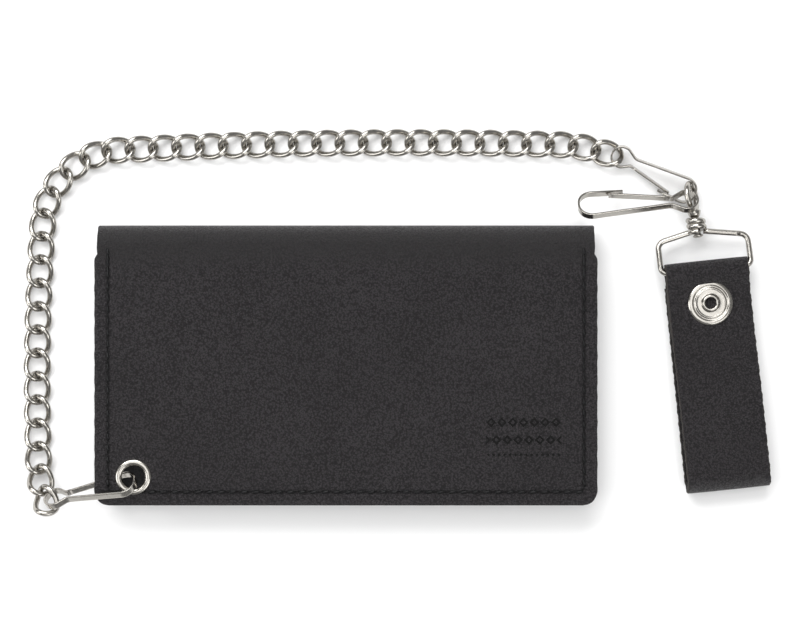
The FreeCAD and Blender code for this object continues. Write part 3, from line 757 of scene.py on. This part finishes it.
# The eye is a torus drawn out towards the stem: its radius grows from 1 to 1.22 of its own there.
t = np.linspace(0, 2 * np.pi, 64, endpoint=False)[:, None]
ring = np.linspace(0, 2 * np.pi, 16, endpoint=False)[None, :]
droop = np.where(np.cos(t) < 0, 1.22, 1.0)
eye = np.stack([(EYE * droop + EYE_WIRE * np.cos(ring)) * np.cos(t),
                (EYE + EYE_WIRE * np.cos(ring)) * np.sin(t), EYE_WIRE * np.sin(ring) + 0 * t], -1)
eye_ring = skin("swivel_ring", eye_place(eye), join_rows=True, join_columns=True)
dress(eye_ring, nickel, "swivel_eye", ["swivel_eye"])


def along_stem(points):
    """Turned parts stand on the stem: their height runs back from the eye along its length."""
    return eye_place(np.stack([-points[..., 2], points[..., 0], points[..., 1]], -1))


stem = rounded([[0.02, 4.4], [2.4, 5.2], [2.0, 6.8], [1.05, 7.8], [1.05, 13.2], [1.3, 13.6],
                [1.8, 13.75], [1.7, 14.3], [0.9, 14.55], [0.02, 14.6]], 0.3)
dress(turned("swivel_stem", stem, (0, 0), along_stem, steps=32), nickel, "swivel_eye", [])

# ---- Belt ring ----------------------------------------------------------------------------------
# One nickel wire, 2 mm thick, bent to a rectangle: its two ends coil round the swivel's stem.
TURN = np.radians(5.95)
LOOP_X, LOOP_Y = 123.9, 35.9
BAR_Y, BAR_Z, RING_HALF = -3.0, 7.0, 15.6
RING_WIRE, COIL_WIRE, COIL_RADIUS, COIL_TURNS = 1.0, 1.08, 2.4, 2.25


def in_strap(points):
    """The belt loop's own frame, turned by 5.95 degrees on the table."""
    x, y, z = np.moveaxis(points, -1, 0)
    return np.stack([LOOP_X + x * np.cos(TURN) - y * np.sin(TURN),
                     LOOP_Y + x * np.sin(TURN) + y * np.cos(TURN), z], -1)


def from_world(points):
    """The way back, from the table to the belt loop's own frame."""
    x, y, z = np.moveaxis(points - np.array([LOOP_X, LOOP_Y, 0]), -1, 0)
    return np.stack([x * np.cos(TURN) + y * np.sin(TURN), -x * np.sin(TURN) + y * np.cos(TURN), z], -1)


def wire(name, line, radius, place, sides=16):
    """Round wire along a line: each section stands on two normals that are carried from one station
    to the next and kept square to the line."""
    run = np.gradient(line, axis=0)
    run /= np.linalg.norm(run, axis=1)[:, None]
    normal = [np.cross(run[0], [0.1, 0.2, 1.0])]
    for here in run[1:]:
        carried = normal[-1] - here * (normal[-1] @ here)
        normal.append(carried / np.linalg.norm(carried))
    normal = np.array(normal)
    normal /= np.linalg.norm(normal, axis=1)[:, None]
    other = np.cross(run, normal)
    ring = np.linspace(0, 2 * np.pi, sides, endpoint=False)
    spoke = normal[:, None] * np.cos(ring)[None, :, None] + other[:, None] * np.sin(ring)[None, :, None]
    return skin(name, place(ended(line[:, None] + radius * spoke)), join_columns=True, weld=0.002)


coil_top = from_world(eye_place(np.array([[-8.3, 0, 0]])))[0]
coil_foot = from_world(eye_place(np.array([[-12.6, 0, 0]])))[0]
stem_run = (coil_foot - coil_top) / np.linalg.norm(coil_foot - coil_top)
side_run = np.cross(stem_run, [0, 0, 1.0])
side_run /= np.linalg.norm(side_run)
rise_run = np.cross(side_run, stem_run)
joined = coil_foot + (coil_top - coil_foot) * 0.04
ring_top = joined[1] - 2.6
corners = [(joined[0] - 2.15, joined[1], 0), (-RING_HALF, ring_top, 3.0), (-RING_HALF, BAR_Y, 2.0),
           (RING_HALF, BAR_Y, 2.0), (RING_HALF, ring_top, 3.0), (joined[0] + 2.15, joined[1], 0)]
flat = bent(corners, 8)
share = np.linspace(0, 1, 9)[:, None]
lead_in = flat[:1] + (flat[1] - flat[0]) * share[:-1]
flat = np.vstack([lead_in, flat[1:-1], flat[-2] + (flat[-1] - flat[-2]) * share])
height = BAR_Z + (joined[2] - 0.5 - BAR_Z) * np.clip((flat[:, 1] - BAR_Y) / (ring_top - BAR_Y), 0, 1)
loop = np.concatenate([flat, height[:, None]], 1)
dress(wire("ring_wire", loop, RING_WIRE, in_strap), nickel, "belt_ring", ["belt_ring"])
angle = np.linspace(0, 2 * np.pi * COIL_TURNS, 150)[:, None]
coil = coil_top + (coil_foot - coil_top) * np.linspace(0, 1, 150)[:, None]
coil = coil + COIL_RADIUS * (side_run * np.cos(angle) + rise_run * np.sin(angle))
dress(wire("ring_coil", coil, COIL_WIRE, in_strap), nickel, "belt_ring", [])

# ---- Belt loop ----------------------------------------------------------------------------------
# A strap of the same black hide, 28.6 mm wide and 2 mm thick, raw along both edges: it wraps the
# ring's bar, doubles back under itself at the foot and shuts with a press stud.
STRAP_WIDTH, STRAP = 28.6, 2.0
WRAP = 2.12
FLAP = BAR_Z - WRAP
FOLD_END, FOLD_Z, STRAP_END = -74.4, 5.2, -78.6
route = bent([
    (-24.0, FLAP, 0), (BAR_Y + WRAP, BAR_Z - WRAP, WRAP * 0.86), (BAR_Y + WRAP, BAR_Z + WRAP, WRAP * 0.86),
    (BAR_Y - 1.6, BAR_Z + WRAP, 4.0), (-9.4, FLAP + STRAP + 0.15, 8.0), (-26.0, FLAP + STRAP + 0.15, 30),
    (-48.0, FOLD_Z + 3.9, 30), (FOLD_END + 2.0, FOLD_Z + 4.15, 20), (STRAP_END, FOLD_Z + 4.15, 4.0),
    (STRAP_END, 1.0, 4.0), (-8.0, 1.0, 0)], 12)
gaps = np.concatenate([[0], np.cumsum(np.hypot(*np.diff(route, axis=0).T))])
even = np.arange(0, gaps[-1], 0.55)
route = np.stack([np.interp(even, gaps, route[:, 0]), np.interp(even, gaps, route[:, 1])], 1)


def strap_skin(name):
    """The strap: a rounded rectangle carried along the route; its edges wander by a tenth of a
    millimetre as sines of the length, and its faces thin towards them by 0.1(w/half)^4."""
    half = STRAP_WIDTH / 2
    section = bar_section(STRAP, STRAP_WIDTH, 0.35, 40, 5)
    wander = 1 + (0.10 * np.sin(even * 1.3) + 0.07 * np.sin(even * 3.1 + 1)) / half
    offset = section[:, 0] - np.sign(section[:, 0]) * 0.1 * (section[:, 1] / half) ** 4
    yz = route[:, None, :] + left_of(route)[:, None, :] * offset[None, :, None]
    x = wander[:, None] * section[None, :, 1]
    points = np.concatenate([x[..., None], yz], -1)
    return skin(name, in_strap(ended(points)), join_columns=True, weld=0.002)


strap = strap_skin("strap_leather")
strap.data.materials.append(black_hide)
strap.data.materials.append(raw_edge)
centres = np.empty(len(strap.data.polygons) * 3)
strap.data.polygons.foreach_get("center", centres)
local = from_world(centres.reshape(-1, 3) * 1000)
on_edge = (np.abs(local[:, 0]) > STRAP_WIDTH / 2 - 0.3).astype(np.int32)
strap.data.polygons.foreach_set("material_index", on_edge)
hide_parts("strap_front", "strap_fold", "strap_back")
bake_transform(strap)

# ---- Belt press stud ----------------------------------------------------------------------------
# A nickel eyelet with a wide grooved flange and a hollow post on the front, its stud under the flap,
# and the socket and cap in the strap's back layer.
SNAP_Y = -14.7
FRONT_TOP = FLAP + 1.5 * STRAP + 0.15
FLAP_LOW = FLAP - STRAP / 2


def on_strap(points):
    """A place on the strap's middle line, at the press stud."""
    return in_strap(points + np.array([0.0, SNAP_Y, 0.0]))


# Profiles of (radius, height). The eyelet's flange is measured up from the strap's front face.
flange = [[1.9, 1.15], [2.15, 1.38], [2.6, 1.38], [2.9, 1.1], [3.2, 0.62], [4.6, 0.6], [5.15, 0.78],
          [5.5, 0.42], [5.95, 0.42], [6.3, 0.78], [7.2, 0.66], [7.7, 0.3], [7.7, 0.02], [2.5, 0.02]]
flange = np.array(flange) + [0.0, FRONT_TOP]
eyelet = np.vstack([[1.9, FLAP_LOW - 0.2], flange, [2.5, FLAP_LOW - 0.2]])
stud = [[2.55, STRAP + 0.3], [3.0, STRAP + 0.5], [3.0, FLAP_LOW - 0.6], [5.6, FLAP_LOW - 0.6],
        [5.6, FLAP_LOW - 0.05], [2.55, FLAP_LOW - 0.05]]
socket = [[3.1, STRAP + 0.02], [5.6, STRAP + 0.02], [5.6, STRAP + 0.35], [4.1, STRAP + 0.5],
          [4.1, FLAP_LOW - 0.7], [3.1, FLAP_LOW - 0.7]]
back_cap = [[0.02, 0.0], [4.5, 0.0], [6.6, 0.15], [7.1, 0.45], [7.1, 0.8], [2.4, 0.8],
            [2.4, STRAP + 0.2], [0.02, STRAP + 0.2]]
for name, profile, body, corner in (
        ("eyelet", eyelet, "strap_front", 0.22), ("stud", stud, "strap_front", 0.15),
        ("socket", socket, "strap_back", 0.15), ("cap", back_cap, "strap_back", 0.25)):
    part = turned(f"belt_press_{name}", rounded(profile, corner, 4), (0, 0), on_strap)
    dress(part, nickel, body, [f"belt_snap_{name}"])

# ---- Floor, light and camera --------------------------------------------------------------------
# A pale table under soft studio light from above and behind.
TABLE, DROP = 3000.0, -0.02
table_x, table_y = np.meshgrid([-TABLE, TABLE], [-TABLE, TABLE])
floor = skin("floor", np.stack([table_x, table_y, 0 * table_x + DROP], -1))
if floor.data.polygons[0].normal.z < 0:
    floor.data.flip_normals()
paper = blank("pale_table")[0]
tone(paper, "Base Color", (0.9, 0.9, 0.9, 1))
tone(paper, "Roughness", 0.9)
tone(paper, "Specular IOR Level", 0.1)
floor.data.materials.append(paper)
world = bpy.data.worlds.new("studio")
bpy.context.scene.world = world
world.use_nodes = True
world.node_tree.nodes["Background"].inputs["Color"].default_value = (1, 1, 1, 1)
world.node_tree.nodes["Background"].inputs["Strength"].default_value = 0.3


def soft_light(name, place, aim, size, watts):
    """A rectangular lamp that faces a point."""
    data = bpy.data.lights.new(name, "AREA")
    data.shape = "RECTANGLE"
    data.size, data.size_y = size
    data.energy = watts
    lamp = bpy.data.objects.new(name, data)
    bpy.context.scene.collection.objects.link(lamp)
    lamp.location = place
    lamp.rotation_euler = (Vector(aim) - Vector(place)).to_track_quat("-Z", "Y").to_euler()


soft_light("key", (-0.25, 0.75, 0.85), (0.02, 0.02, 0), (1.1, 0.6), 14.0)
soft_light("top", (0.02, 0.05, 1.3), (0.02, 0.02, 0), (0.9, 0.9), 5.0)
soft_light("fill", (0.55, -0.55, 0.8), (0.02, 0.0, 0), (0.7, 0.5), 3.5)
soft_light("side", (-0.9, -0.1, 0.6), (0.0, 0.0, 0), (0.5, 0.8), 4.0)
VIEW_HEIGHT, VIEW_WIDTH = 750.0, 278.6
view = bpy.data.cameras.new("camera")
view.sensor_width = 36.0
view.lens = 36.0 * VIEW_HEIGHT / VIEW_WIDTH
view.clip_start = 0.01
camera = bpy.data.objects.new("camera", view)
camera.location = (0.0185, 0.0154, VIEW_HEIGHT / 1000)
bpy.context.scene.collection.objects.link(camera)
bpy.context.scene.camera = camera
bpy.context.scene.view_settings.view_transform = "Standard"
